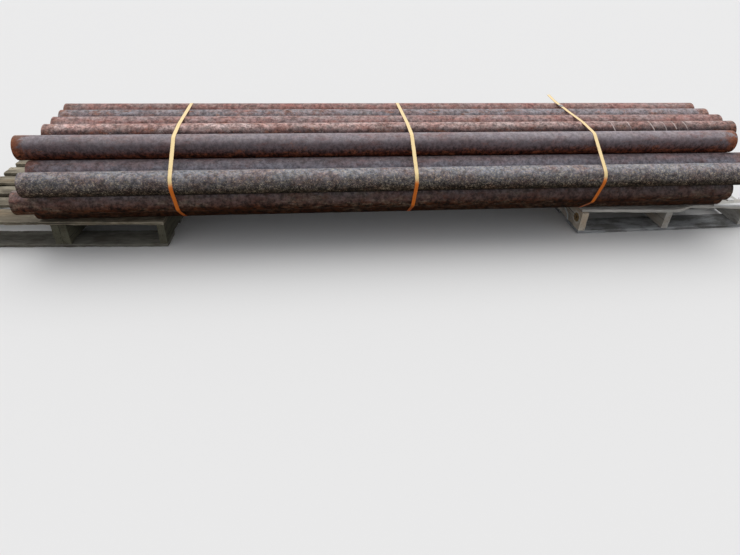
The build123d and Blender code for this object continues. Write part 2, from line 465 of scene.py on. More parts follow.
@dataclass(frozen=True)
class PipeFinish:
    """The oxide, faded coat, rust and dirt of a pipe, with painted highlight on the crown and painted shade
    below.

    What starts with low belongs to the underside, and under is the tone of its lowest line, a painted shade.
    Narrowing squeezes the painted highlight on the crown, and the tones are those of the left and the right
    end.
    A scratch has its place along the pipe, in metres from the middle, and its strength.
    """

    crown: Colour = (0.250, 0.200, 0.200)
    side: Colour = (0.105, 0.074, 0.072)
    belly: Colour = (0.075, 0.036, 0.026)
    primer: Colour = (0.150, 0.070, 0.056)
    rust: Colour = (0.170, 0.066, 0.036)
    bright_rust: Colour = (0.380, 0.150, 0.062)
    dust: Colour = (0.330, 0.290, 0.245)
    mud: Colour = (0.200, 0.170, 0.125)
    speck: Colour = (0.380, 0.345, 0.300)
    primer_amount: float = 0.40
    rust_amount: float = 0.26
    bright_amount: float = 0.30
    dust_amount: float = 0.25
    speck_amount: float = 0.25
    mud_amount: float = 0.10
    low_speck: float = 0.45
    low_rust: float = 0.0
    mottle: float = 0.42
    low_mottle: float = 0.40
    end_rust: float = 0.6
    end_reach: float = 0.13
    grain: float = 210.0
    scratches: Pairs = ()
    narrowing: float = 1.0
    tones: tuple[float, float] = (0.92, 1.08)
    tone_reach: float = 1.9
    under: float = 0.9
    roughness: float = 0.62
    specular: float = 0.22

    def material(self, name: str, seed: int, length: float, effects: SurfaceEffects) -> Material:
        """Builds the finish for one pipe.

        Args:
            name: The material's name.
            seed: What moves the patterns of this pipe.
            length: The pipe's length, in metres.
            effects: The shared shader groups.

        Returns:
            The material.
        """
        material, w = new_material(name)
        place = seeded_place(w, seed)
        facing = w.group(effects.facing, Vector=place, Wander=0.55)
        crown, belly, up = facing["Crown"], facing["Belly"], facing["Up"]
        along, bore = w.attribute("along"), w.attribute("bore")

        # The oxide and the faded coat over it, with a painted highlight on the crown and painted shade below
        colour = w.blend(w.math("POWER", crown, self.narrowing), self.side, self.crown)
        colour = w.blend(belly, colour, self.belly)
        primer = effects.patches(
            w, place, 0.82, Scale=9.0, Stretch=0.40, Amount=self.primer_amount, Softness=0.10
        )
        primer_mask = w.times(primer["Mask"], w.ramp(belly, 1.0, 0.2, 0.25, 0.75))
        # The coat lighter along the crown: painted highlight
        colour = w.blend(primer_mask, colour, w.blend(crown, self.primer, shade_of(self.primer, 1.9)))

        # Rust in patches, and round the ends
        amount = w.plus(self.rust_amount, w.times(belly, self.low_rust))
        rust = effects.patches(w, place, 0.84, Scale=24.0, Stretch=0.55, Amount=amount, Softness=0.07)
        bright = effects.patches(
            w, place, 0.8, Scale=60.0, Stretch=0.7, Amount=self.bright_amount, Softness=0.06
        )
        rust_colour = w.blend(bright["Mask"], self.rust, self.bright_rust)
        # Rust darker on the underside: painted shade
        rust_colour = w.blend(w.times(belly, 0.7), rust_colour, shade_of(self.rust, 0.75))
        rust_mask = w.times(rust["Mask"], 0.8)
        colour = w.blend(rust_mask, colour, rust_colour)
        end_near = w.ramp(w.minus(length / 2, w.size(along)), self.end_reach, 0.0)
        end_noise = w.noise(w.scaled(place, 1.0, 1.4, 1.4), 17.0, 7.0, 0.68)
        end_mask = w.ramp(w.plus(end_noise, w.times(end_near, 0.22)), 0.60, 0.70)
        end_mask = w.times(end_mask, w.times(end_near, self.end_rust), clamp=True)
        colour = w.blend(end_mask, colour, rust_colour)

        # Dust, mud, specks and pits
        dust = w.group(effects.dust, Vector=place, Amount=self.dust_amount, Patch=24.0)
        colour = w.blend(dust["Mask"], colour, self.dust)
        mud = effects.patches(w, place, 0.75, Scale=5.0, Stretch=0.30, Amount=self.mud_amount, Softness=0.06)
        mud_line = w.noise(w.scaled(place, 9.0, 34.0, 34.0), 2.0, 5.0, 0.75)
        mud_mask = w.times(mud["Mask"], w.ramp(mud_line, 0.44, 0.62))
        colour = w.blend(w.times(mud_mask, 0.5), colour, self.mud)
        grit = w.group(effects.grit, Vector=place, Scale=self.grain, Amount=self.speck_amount)
        # Specks darker on the underside: painted shade
        speck_colour = w.blend(belly, self.speck, shade_of(self.speck, self.low_speck))
        colour = w.blend(w.times(grit["Specks"], 0.7), colour, speck_colour)
        colour = w.blend(w.times(grit["Pits"], 0.45), colour, shade_of(self.belly, 0.4))

        # Mottling, the tones along the pipe, and painted shade darkening the lowest line underneath
        strength = w.plus(self.mottle, w.times(belly, self.low_mottle))
        lightest = w.plus(1.0, w.times(strength, 1.2))
        shade = w.ramp(w.noise(place, 46.0, 5.0, 0.8), 0.35, 0.65, w.minus(1.0, strength), lightest)
        shade = w.times(shade, w.ramp(along, -self.tone_reach, self.tone_reach, *self.tones))
        colour = w.toned(colour, w.times(shade, w.ramp(up, -0.45, -0.90, 1.0, self.under)))
        coarse_mottle = w.noise(w.scaled(place, 0.6, 1.0, 1.0), 13.0, 6.0, 0.75)
        reddened = w.ramp(coarse_mottle, 0.60, 0.36, 0.0, self.mottle)
        colour = w.blend(reddened, colour, (0.86, 0.50, 0.42), "MULTIPLY")
        colour = self.scratched(w, colour, place, along, up)

        # The bore and the cut end
        bore_colour = w.blend(rust["Shade"], (0.045, 0.018, 0.012), (0.115, 0.048, 0.030))
        colour = w.blend(w.ramp(bore, 0.85, 1.0), colour, bore_colour)
        cut = w.times(w.ramp(bore, 0.02, 0.2), w.ramp(bore, 0.98, 0.8))
        cut_colour = w.blend(bright["Shade"], (0.12, 0.052, 0.034), (0.33, 0.150, 0.080))
        colour = w.blend(w.times(cut, 0.9), colour, cut_colour)

        rough = w.plus(self.roughness - 0.06, w.times(rust_mask, 0.22))
        rough = w.plus(rough, w.times(grit["Height"], 0.16), clamp=True)
        height = w.plus(w.times(grit["Height"], 0.5), w.times(rust["Shade"], 0.6))
        w.surface(colour, rough, (height, 0.55, 0.0022), IOR=1.45, Specular_IOR_Level=self.specular)
        return material

    def scratched(self, w: Wiring, colour: Socket, place: Socket, along: Socket, up: Socket) -> Socket:
        """Adds the slanted pale scratches across the crown.

        Args:
            w: The material's wiring.
            colour: The colour so far.
            place: The pipe's moved coordinates.
            along: The place along the pipe.
            up: How far the surface faces up.

        Returns:
            The colour with its scratches.
        """
        if not self.scratches:
            return colour
        wobble = w.times(w.noise(place, 30.0, 3.0), 0.012)
        slanted = w.plus(w.plus(along, wobble), w.times(up, 0.026))
        shown = w.times(w.ramp(up, 0.20, 0.62), w.ramp(w.noise(place, 44.0, 4.0), 0.36, 0.52))
        for spot, strength in self.scratches:
            line = w.ramp(w.size(w.minus(slanted, spot)), 0.0042, 0.0014)
            colour = w.blend(w.times(line, w.times(shown, strength)), colour, (0.66, 0.56, 0.52))
        return colour


@dataclass(frozen=True)
class StrapFinish:
    """Orange enamel on steel strapping: bleached paint and painted highlight on top, painted shade below."""

    enamel: Colour = (1.0, 0.240, 0.020)
    bleach_and_highlight: Colour = (1.0, 0.755, 0.355)
    shaded: Colour = (0.50, 0.060, 0.025)
    bare: Colour = (0.20, 0.075, 0.040)
    stain: Colour = (0.30, 0.14, 0.085)
    roughness: float = 0.36

    def material(self, name: str, seed: int, half_width: float, effects: SurfaceEffects) -> Material:
        """Builds the finish for one strap.

        Args:
            name: The material's name.
            seed: What moves the patterns of this strap.
            half_width: Half the strap's width, in metres.
            effects: The shared shader groups.

        Returns:
            The material.
        """
        material, w = new_material(name)
        place = seeded_place(w, seed)
        level = w.plus(w.up(), w.times(w.minus(w.noise(place, 18.0, 5.0), 0.5), 0.25))
        # Paler where the strap faces up: bleached paint and painted highlight; dark red below: painted shade
        colour = w.blend(w.ramp(level, -0.08, 0.52), self.enamel, self.bleach_and_highlight)
        colour = w.blend(w.ramp(level, -0.72, -0.95), colour, self.shaded)
        streak = w.noise(w.scaled(place, 170.0, 9.0, 9.0), 1.0, 4.0, 0.6)
        colour = w.blend(w.ramp(streak, 0.55, 0.78, 0.0, 0.35), colour, shade_of(self.enamel, 0.62))
        edge = w.minus(half_width, w.size(w.attribute("across")))
        worn = w.group(effects.wear, Vector=place, Distance=edge, Width=0.0045, Amount=0.42, Scale=130.0)
        colour = w.blend(w.times(worn["Mask"], 0.75), colour, self.bare)
        stain = effects.patches(w, place, Scale=34.0, Stretch=1.0, Amount=0.16, Softness=0.05)["Mask"]
        colour = w.blend(w.times(stain, 0.55), colour, self.stain)
        rough = w.plus(self.roughness, w.times(stain, 0.3))
        w.surface(colour, rough, (streak, 0.2, 0.0006), IOR=1.5)
        return material


@dataclass(frozen=True)
class SealFinish:
    """A crimped steel seal, dull zinc with the first rust."""

    zinc: Colour = (0.43, 0.42, 0.40)
    stain: Colour = (0.22, 0.11, 0.07)
    stain_amount: float = 0.32
    metal: float = 0.85

    def material(self, name: str, seed: int, effects: SurfaceEffects) -> Material:
        """Builds the finish for one seal.

        Args:
            name: The material's name.
            seed: What moves the patterns of this seal.
            effects: The shared shader groups.

        Returns:
            The material.
        """
        material, w = new_material(name)
        place = seeded_place(w, seed)
        brushed = w.noise(w.scaled(place, 40.0, 700.0, 700.0), 1.0, 4.0, 0.6)
        stain = effects.patches(w, place, Scale=90.0, Stretch=1.0, Amount=self.stain_amount, Softness=0.07)
        colour = w.blend(brushed, shade_of(self.zinc, 0.7), self.zinc)
        colour = w.blend(stain["Mask"], colour, self.stain)
        rough = w.plus(0.42, w.times(stain["Mask"], 0.35))
        metal = w.minus(self.metal, w.times(stain["Mask"], 0.8), clamp=True)
        w.surface(colour, rough, (brushed, 0.2, 0.0004), Metallic=metal)
        return material


@dataclass(frozen=True)
class TimberFinish:
    """Sawn softwood after years outdoors, with a knot where one is given."""

    pale: Colour = (0.56, 0.53, 0.50)
    grey: Colour = (0.330, 0.315, 0.300)
    dark: Colour = (0.085, 0.070, 0.060)
    warm: Colour = (0.300, 0.215, 0.150)
    soil: Colour = (0.135, 0.110, 0.085)
    fresh: Colour = (0.72, 0.69, 0.64)
    warm_amount: float = 0.25
    soil_amount: float = 0.25
    roughness: float = 0.86
    knot: tuple[float, float, float] | None = None

    def material(self, name: str, effects: SurfaceEffects) -> Material:
        """Builds the finish, which reads each board's own coordinates.

        Args:
            name: The material's name.
            effects: The shared shader groups.

        Returns:
            The material.
        """
        material, w = new_material(name)
        board = w.attribute("board_uvw", "Vector")
        grain = w.group(effects.timber_grain, Board=board)
        colour = w.blend(w.ramp(grain["Fibre"], 0.32, 0.68), self.grey, self.pale)
        colour = w.blend(w.ramp(grain["Ring"], 0.45, 0.95, 0.0, 0.35), colour, self.grey)
        warm = effects.patches(w, board, Scale=6.0, Stretch=0.35, Amount=self.warm_amount, Softness=0.10)
        colour = w.blend(w.times(warm["Mask"], 0.6), colour, self.warm)
        soil = effects.patches(w, board, Scale=13.0, Stretch=0.5, Amount=self.soil_amount, Softness=0.09)
        colour = w.blend(w.times(soil["Mask"], 0.65), colour, self.soil)
        if self.knot:
            colour = self.knotted(w, colour)
        colour = w.blend(w.times(grain["Check"], 0.85), colour, self.dark)
        colour = w.toned(colour, w.ramp(grain["Tone"], 0.3, 0.7, 0.80, 1.16))
        edge = w.attribute("edge")
        worn = w.group(effects.wear, Vector=board, Distance=edge, Width=0.005, Amount=0.45, Scale=70.0)
        colour = w.blend(w.times(worn["Mask"], 0.5), colour, self.pale)
        fresh = w.times(w.attribute("fresh"), w.ramp(grain["Fibre"], 0.30, 0.45))
        colour = w.blend(fresh, colour, self.fresh)
        rough = w.plus(self.roughness - 0.05, w.times(grain["Fibre"], 0.1), clamp=True)
        w.surface(colour, rough, (grain["Height"], 0.7, 0.0016), IOR=1.4)
        return material

    def knotted(self, w: Wiring, colour: Socket) -> Socket:
        """Adds the knot: a pale ring of turned grain, warm wood and a dark core.

        Args:
            w: The material's wiring.
            colour: The colour so far.

        Returns:
            The colour with the knot.
        """
        place = w.out("ShaderNodeTexCoord", None, "Object")
        from_knot = w.vector_math("MULTIPLY", w.vector_math("SUBTRACT", place, self.knot), (1.0, 0.8, 1.0))
        reach = w.plus(w.length(from_knot), w.times(w.noise(place, 60.0, 4.0), 0.014))
        colour = w.blend(w.ramp(reach, 0.046, 0.036), colour, self.pale)
        colour = w.blend(w.ramp(reach, 0.036, 0.028), colour, (0.340, 0.215, 0.085))
        return w.blend(w.ramp(reach, 0.015, 0.009), colour, (0.070, 0.042, 0.015))


@dataclass(frozen=True)
class PalletFinish:
    """The timber of a pallet's deck, its stringers and its lower boards."""

    deck: TimberFinish
    stringer: TimberFinish
    low: TimberFinish
    knotted: TimberFinish | None = None


@dataclass(frozen=True)
class NailFinish:
    """A rusted nail head."""

    rust: Colour = (0.115, 0.055, 0.036)
    iron: Colour = (0.160, 0.140, 0.125)

    def material(self, name: str, effects: SurfaceEffects) -> Material:
        """Builds the finish.

        Args:
            name: The material's name.
            effects: The shared shader groups.

        Returns:
            The material.
        """
        material, w = new_material(name)
        place = seeded_place(w, Seed.NAIL_IRON)
        patch = effects.patches(w, place, Scale=160.0, Stretch=1.0, Amount=0.6, Softness=0.1)
        colour = w.blend(patch["Mask"], self.iron, self.rust)
        rough = w.ramp(patch["Shade"], 0.3, 0.7, 0.55, 0.85)
        w.surface(colour, rough, (patch["Shade"], 0.4, 0.0005), Metallic=0.2)
        return material


def box_of(node: str) -> tuple[Vector, Vector]:
    """The low and the high corner of a node's box."""
    low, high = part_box(node)
    return Vector(low), Vector(high)


def new_piece(name: str, verts: Sequence, edges: Sequence = (), faces: Sequence = ()) -> Piece:
    """Puts a mesh into the scene as an object at the origin.

    Args:
        name: The piece's name.
        verts: The mesh's points.
        edges: Its edges.
        faces: Its faces.

    Returns:
        The object.
    """
    mesh = bpy.data.meshes.new(name)
    mesh.from_pydata(verts, edges, faces)
    piece = bpy.data.objects.new(name, mesh)
    bpy.context.scene.collection.objects.link(piece)
    return piece


def new_line(name: str, verts: Sequence) -> Piece:
    """Puts a chain of points into the scene as an object at the origin."""
    return new_piece(name, verts, [(k, k + 1) for k in range(len(verts) - 1)])


def run_tree(piece: Piece, tree: Tree, values: dict[str, object]) -> None:
    """Gives a piece the plain mesh that a geometry tree makes of it.

    Args:
        piece: The object, whose mesh the result replaces.
        tree: The geometry tree.
        values: The tree's inputs by name.
    """
    modifier = piece.modifiers.new(tree.name, "NODES")
    modifier.node_group = tree
    keys = {item.name: item.identifier for item in tree.interface.items_tree if item.in_out == "INPUT"}
    for name, value in values.items():
        modifier[keys[name]] = value
    graph = bpy.context.evaluated_depsgraph_get()
    made = piece.evaluated_get(graph)
    mesh = bpy.data.meshes.new_from_object(made, preserve_all_data_layers=True, depsgraph=graph)
    piece.modifiers.remove(modifier)
    mesh.name = piece.name
    piece.data = mesh


def settle(piece: Piece, slot: Slot, *nodes: str) -> None:
    """Makes a finished piece ride with the bundle and stand for its nodes.

    Args:
        piece: The finished piece.
        slot: Not used.
        nodes: The nodes that it stands for.
    """
    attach(piece, "root")
    if nodes:
        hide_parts(*nodes)
    LOG.info("%s: %d faces", piece.name, len(piece.data.polygons))


@dataclass
class Pipe:
    """One length of pipe, square cut, with the burr rubbed off its rims."""

    node: str
    wall: float = 0.00602
    rim: float = 0.0011
    sides: int = 88

    def __post_init__(self) -> None:
        """Reads the pipe's place from the frame."""
        self.low, self.high = box_of(self.node)

    @property
    def centre(self) -> Vector:
        """The middle of the pipe."""
        return (self.low + self.high) / 2

    @property
    def section_centre(self) -> Vector:
        """The middle in the pile's section."""
        return self.centre.yz

    @property
    def radius(self) -> float:
        """The outer radius."""
        return (self.high.z - self.low.z) / 2

    @property
    def length(self) -> float:
        """The length along X."""
        return self.high.x - self.low.x

    def build(self, tree: Tree, material: Material) -> None:
        """Makes the pipe's mesh and settles it in the frame.

        Args:
            tree: The pipe stock tree.
            material: The pipe's finish.
        """
        piece = new_piece(self.node.replace("pipe_", "iron_pipe_"), ())
        values = {"Length": self.length, "Radius": self.radius, "Wall": self.wall, "Rim": self.rim}
        run_tree(piece, tree, {**values, "Sides": self.sides, "Centre": self.centre, "Material": material})
        settle(piece, Slot.PIPE, self.node)


@dataclass
class PipePile:
    """The twenty-six pipes, each with its own finish or one that the hidden pipes share."""

    effects: SurfaceEffects
    finishes: dict[str, PipeFinish]
    layers: tuple[tuple[str, int], ...] = (("top", 5), ("upper", 8), ("middle", 7), ("bottom", 6))
    shared: tuple[str, ...] = ("plain", "red", "grey", "dirty")
    rim_steps: int = 2

    def stock_tree(self) -> Tree:
        """Builds the geometry tree of one pipe: a wall section swept once round.

        Returns:
            The tree.
        """
        numbers = {"Length": 3.6, "Radius": 0.05715, "Wall": 0.006, "Rim": 0.001, "Sides": 88}
        inputs = {"Geometry": "Geometry", **numbers, "Centre": "Vector", "Material": "Material"}
        parts = new_tree("Pipe stock", TreeKind.GEOMETRY, inputs, "Geometry")
        w, source = parts.wiring, parts.inputs
        middle = w.minus(source["Radius"], w.math("DIVIDE", source["Wall"], 2.0))
        circle = {"Resolution": source["Sides"], "Radius": middle}
        ring = w.out("GeometryNodeCurvePrimitiveCircle", circle)
        wall = {"Width": source["Wall"], "Height": source["Length"]}
        section = w.out("GeometryNodeCurvePrimitiveQuadrilateral", wall)
        easing = {"Curve": section, "Count": self.rim_steps, "Radius": source["Rim"]}
        eased = w.out("GeometryNodeFilletCurve", easing, mode="POLY")
        swept = w.out("GeometryNodeCurveToMesh", {"Curve": ring, "Profile Curve": eased})

        split = w.add("ShaderNodeSeparateXYZ", {0: w.out("GeometryNodeInputPosition")}).outputs
        reach = w.length(w.out("ShaderNodeCombineXYZ", {0: split[0], 1: split[1]}))
        depth = w.math("DIVIDE", w.minus(source["Radius"], reach), source["Wall"])
        marked = w.mark(w.mark(swept, "bore", depth), "along", split[2])
        lying = {"Geometry": marked, "Translation": source["Centre"], "Rotation": (0.0, math.pi / 2, 0.0)}
        return parts.dress(w.out("GeometryNodeTransform", lying), 0.35)

    def build(self) -> list[Pipe]:
        """Makes every pipe.

        Returns:
            The pipes.
        """
        tree = self.stock_tree()
        pipes = [Pipe(f"pipe_{layer}_{k}") for layer, count in self.layers for k in range(1, count + 1)]
        for number, pipe in enumerate(pipes):
            shared = self.finishes[self.shared[number % len(self.shared)]]
            finish = self.finishes.get(pipe.node, shared)
            name, seed = f"iron of {pipe.node}", Seed.PIPES + number
            pipe.build(tree, finish.material(name, seed, pipe.length, self.effects))
        return pipes


def turns_left(a: Vector, b: Vector, c: Vector) -> bool:
    """Whether the way from a over b to c turns left."""
    return (b.x - a.x) * (c.y - a.y) - (b.y - a.y) * (c.x - a.x) > 1e-9


def chain_round(points: list[Vector]) -> list[Vector]:
    """One side of the tight line round some points.

    Args:
        points: The points, in order.

    Returns:
        The points on that side, without the last.
    """
    chain: list[Vector] = []
    for point in points:
        while len(chain) > 1 and not turns_left(chain[-2], chain[-1], point):
            chain.pop()
        chain.append(point)
    return chain[:-1]


@dataclass
class StrapPath:
    """A strap's line in the pile's section, from its inner end round to its free tail.

    The line runs clockwise as seen from the pipes' right end, over the top towards the back. It rises
    from its first layer onto the second over the longest rise or less, and its tail lifts in a curve.
    """

    corners: list[Vector]
    start_corner: int
    lap_middle: float
    tail: float
    lift: float
    inside: float
    thickness: float
    lap: float
    step: float = math.radians(6.0)
    longest_rise: float = 0.020
    tail_steps: int = 6
    tail_curve: float = 1.6

    def edge(self, number: int) -> tuple[Vector, Vector, float]:
        """A straight run: its start, its direction and its length."""
        first, second = (self.corners[k % len(self.corners)] for k in (number, number + 1))
        return first, (second - first).normalized(), (second - first).length

    def at(self, number: int, distance: float, height: float) -> Vector:
        """A point beside a straight run, outwards of it."""
        first, way, _ = self.edge(number)
        return first + way * distance + Vector((-way.y, way.x)) * (self.inside + height)

    def points(self) -> list[Vector]:
        """The whole line, in order.

        Returns:
            The (y, z) points.
        """
        start, layer = self.start_corner, self.thickness / 2
        lap_start = self.lap_middle - self.lap / 2
        lap_end = self.lap_middle + self.lap / 2
        line = [self.at(start, lap_start, layer)]
        for number in range(start, start + len(self.corners)):
            line.append(self.at(number, self.edge(number)[2], layer))
            line += self.arc(number, layer)
            line.append(self.at(number + 1, 0.0, layer))
        over = layer + self.thickness
        rise = min(self.longest_rise, lap_start * 0.5)
        line.append(self.at(start, lap_start - rise, layer))
        line += [self.at(start, lap_start, over), self.at(start, lap_end, over)]
        for share in (k / self.tail_steps for k in range(1, self.tail_steps + 1)):
            height = over + self.lift * share ** self.tail_curve
            line.append(self.at(start, lap_end + self.tail * share, height))
        return line

    def arc(self, number: int, layer: float) -> list[Vector]:
        """The points round the pipe where one straight run ends.

        Args:
            number: The run.
            layer: The line's height over the strap's inside.

        Returns:
            The points between this run and the next.
        """
        _, way, _ = self.edge(number)
        centre, onward, _ = self.edge(number + 1)
        begin = math.atan2(way.x, -way.y)
        turn = math.atan2(way.x * onward.y - way.y * onward.x, way.dot(onward))
        count = max(2, round(abs(turn) / self.step))
        angles = [begin + turn * k / count for k in range(1, count)]
        return [centre + Vector((math.cos(a), math.sin(a))) * (self.inside + layer) for a in angles]


@dataclass(frozen=True)
class Lap:
    """Where a strap's ends overlap: after which pipe, at which share of the run, and the free tail.

    Without a share, the middle of the lap is one pipe radius and a gap before the end of the run.
    """

    pipe: str
    share: float | None
    tail: float
    lift: float


@dataclass
class Strapping:
    """The three steel straps round the pile, and their crimped seals.

    The width's trim and the thinned section keep a strap inside the outline of its node.
    """

    effects: SurfaceEffects
    pipes: list[Pipe]
    nodes: dict[str, Piece]
    finish: StrapFinish = StrapFinish()
    seal: SealFinish = SealFinish()
    width: float = 0.019
    thickness: float = 0.001
    clearance: float = 0.0003
    lap: float = 0.110
    lap_gap: float = 0.0002
    width_trim: float = 0.0001
    thinned: float = 0.94
    laps: dict[str, Lap] = field(
        default_factory=lambda: {
            "left": Lap("pipe_top_5", 0.5, 0.024, 0.004),
            "middle": Lap("pipe_top_5", 0.5, 0.024, 0.004),
            "right": Lap("pipe_top_2", None, 0.142, 0.010),
        }
    )

    def band_tree(self) -> Tree:
        """Builds the geometry tree of a strap: a flat section that follows its line.

        Returns:
            The tree.
        """
        numbers = {"Width": 0.019, "Thickness": 0.001, "Middle": 0.0}
        inputs = {"Geometry": "Geometry", **numbers, "Material": "Material"}
        parts = new_tree("Strap band", TreeKind.GEOMETRY, inputs, "Geometry")
        w, source = parts.wiring, parts.inputs
        line = w.out("GeometryNodeMeshToCurve", {0: source["Geometry"]})
        flat = w.out("GeometryNodeSetCurveNormal", {"Curve": line, "Normal": (1.0, 0.0, 0.0)}, mode="FREE")
        wide = {"Width": source["Width"], "Height": source["Thickness"]}
        section = w.out("GeometryNodeCurvePrimitiveQuadrilateral", wide)
        sweep = {"Curve": flat, "Profile Curve": section, "Fill Caps": True}
        band = w.out("GeometryNodeCurveToMesh", sweep)
        place = w.out("ShaderNodeSeparateXYZ", {0: w.out("GeometryNodeInputPosition")})
        return parts.dress(w.mark(band, "across", w.minus(place, source["Middle"])), 0.6)

    def build(self) -> Tree:
        """Makes the straps and dresses the seals.

        Returns:
            The band tree, for other bent strips.
        """
        tree = self.band_tree()
        ordered = sorted((pipe.section_centre for pipe in self.pipes), key=lambda c: (c.x, c.y))
        hull = (chain_round(ordered) + chain_round(ordered[::-1]))[::-1]
        by_node = {pipe.node: pipe.section_centre for pipe in self.pipes}
        radius = self.pipes[0].radius
        for number, (side, lap) in enumerate(self.laps.items()):
            corner = min(range(len(hull)), key=lambda k: (hull[k] - by_node[lap.pipe]).length)
            length = (hull[(corner + 1) % len(hull)] - hull[corner]).length
            middle = length * lap.share if lap.share else length - radius - self.lap_gap
            inside = radius + self.clearance
            path = StrapPath(hull, corner, middle, lap.tail, lap.lift, inside, self.thickness, self.lap)
            self.build_strap(side, path, tree, number)
            self.dress_seal(side, number)
        return tree

    def build_strap(self, side: str, path: StrapPath, tree: Tree, number: int) -> None:
        """Makes one strap.

        Args:
            side: Which strap it is.
            path: Its line in the pile's section.
            tree: The band tree.
            number: What moves its patterns.
        """
        node = f"strap_{side}"
        low, high = box_of(node)
        middle = (low.x + high.x) / 2
        piece = new_line(f"steel_strap_{side}", [(middle, *point) for point in path.points()])
        name, seed = f"enamel of {node}", Seed.STRAPS + number
        material = self.finish.material(name, seed, self.width / 2, self.effects)
        width, thickness = self.width - self.width_trim, self.thickness * self.thinned
        section = {"Width": width, "Thickness": thickness}
        run_tree(piece, tree, {**section, "Middle": middle, "Material": material})
        settle(piece, Slot.STRAP, node)

    def dress_seal(self, side: str, number: int) -> None:
        """Gives one seal, which keeps the frame's mesh, its finish.

        Args:
            side: Which strap the seal is on.
            number: What moves its patterns.
        """
        seal = self.nodes[f"seal_{side}"]
        finish = self.seal.material(f"steel of seal_{side}", Seed.SEALS + number, self.effects)
        if not seal.material_slots:
            seal.data.materials.append(finish)
        for slot in seal.material_slots:
            slot.material = finish
        LOG.info("seal_%s: dressed", side)


@dataclass
class Board:
    """One sawn board: where it lies, its size, and what is gone from its front and back edge."""

    place: Matrix
    length: float
    width: float
    thickness: float
    front_loss: Callable[[float], float] | None = None
    back_loss: Callable[[float], float] | None = None
    fresh: Callable[[float], float] | None = None
    cell: float = 0.014
    cross_cell: float = 0.011
    depth_cell: float = 0.0065
    fewest_cells: tuple[int, int, int] = (4, 3, 2)

    @property
    def size(self) -> tuple[float, float, float]:
        """The length, the width and the thickness."""
        return self.length, self.width, self.thickness

    def lattice(self) -> tuple[int, ...]:
        """The number of cells along, across and through the board."""
        sides = zip(self.size, (self.cell, self.cross_cell, self.depth_cell), self.fewest_cells)
        return tuple(max(fewest, round(side / cell)) for side, cell, fewest in sides)

    def point(self, u: float, v: float, t: float) -> Vector:
        """A point of the board.

        Args:
            u: The share along it.
            v: The share across it.
            t: The share through it.

        Returns:
            The point in the bundle's frame.
        """
        along = u * self.length
        front = self.front_loss(along) if self.front_loss else 0.0
        back = self.back_loss(along) if self.back_loss else 0.0
        across = front + v * (self.width - front - back)
        return self.place @ Vector((along, across, t * self.thickness))


@dataclass
class TimberMesh:
    """A mesh of boards with their own grain coordinates and edge distances."""

    verts: list[Vector] = field(default_factory=list)
    faces: list[tuple[int, ...]] = field(default_factory=list)
    grain: list[Vector] = field(default_factory=list)
    edge: list[float] = field(default_factory=list)
    fresh: list[float] = field(default_factory=list)

    def add(self, board: Board, chance: Random) -> None:
        """Adds one board as a closed lattice box.

        Args:
            board: The board.
            chance: What moves its grain.
        """
        cells = nu, nv, nt = board.lattice()
        shift = Vector([chance.uniform(0, 40) for _ in range(3)])
        known: dict[tuple[int, ...], int] = {}

        def corner(*key: int) -> int:
            """A lattice point, which is made on first use.

            Args:
                key: Its steps along, across and through the board.

            Returns:
                The point's number in the mesh.
            """
            if key not in known:
                known[key] = len(self.verts)
                shares = [step / count for step, count in zip(key, cells)]
                local = [share * side for share, side in zip(shares, board.size)]
                self.verts.append(board.point(*shares))
                self.grain.append(Vector(local) + shift)
                gaps = sorted(min(at, side - at) for at, side in zip(local, board.size))
                self.edge.append(gaps[1])
                self.fresh.append(board.fresh(local[0]) if board.fresh and key[1] == 0 else 0.0)
            return known[key]

        along = ((0, 0), (1, 0), (1, 1), (0, 1))
        against = ((0, 0), (0, 1), (1, 1), (1, 0))
        sides = (
            (nu, nv, lambda a, b: (a, b, nt), along),
            (nu, nv, lambda a, b: (a, b, 0), against),
            (nu, nt, lambda a, b: (a, 0, b), along),
            (nu, nt, lambda a, b: (a, nv, b), against),
            (nv, nt, lambda a, b: (0, a, b), against),
            (nv, nt, lambda a, b: (nu, a, b), along),
        )
        for rows, columns, spot, ring in sides:
            for a in range(rows):
                for b in range(columns):
                    self.faces.append(tuple(corner(*spot(a + da, b + db)) for da, db in ring))

    def piece(self, name: str) -> Piece:
        """The boards as one piece.

        Args:
            name: The piece's name.

        Returns:
            The object.
        """
        piece = new_piece(name, self.verts, (), self.faces)
        grain = piece.data.attributes.new("board_uvw", "FLOAT_VECTOR", "POINT")
        grain.data.foreach_set("vector", [number for spot in self.grain for number in spot])
        for label, values in (("edge", self.edge), ("fresh", self.fresh)):
            piece.data.attributes.new(label, "FLOAT", "POINT").data.foreach_set("value", values)
        return piece


PALE_TIMBER = TimberFinish(
    pale=(0.97, 0.96, 0.94),
    grey=(0.80, 0.79, 0.77),
    dark=(0.30, 0.27, 0.24),
    warm=(0.72, 0.66, 0.58),
    warm_amount=0.14,
    soil_amount=0.05,
)


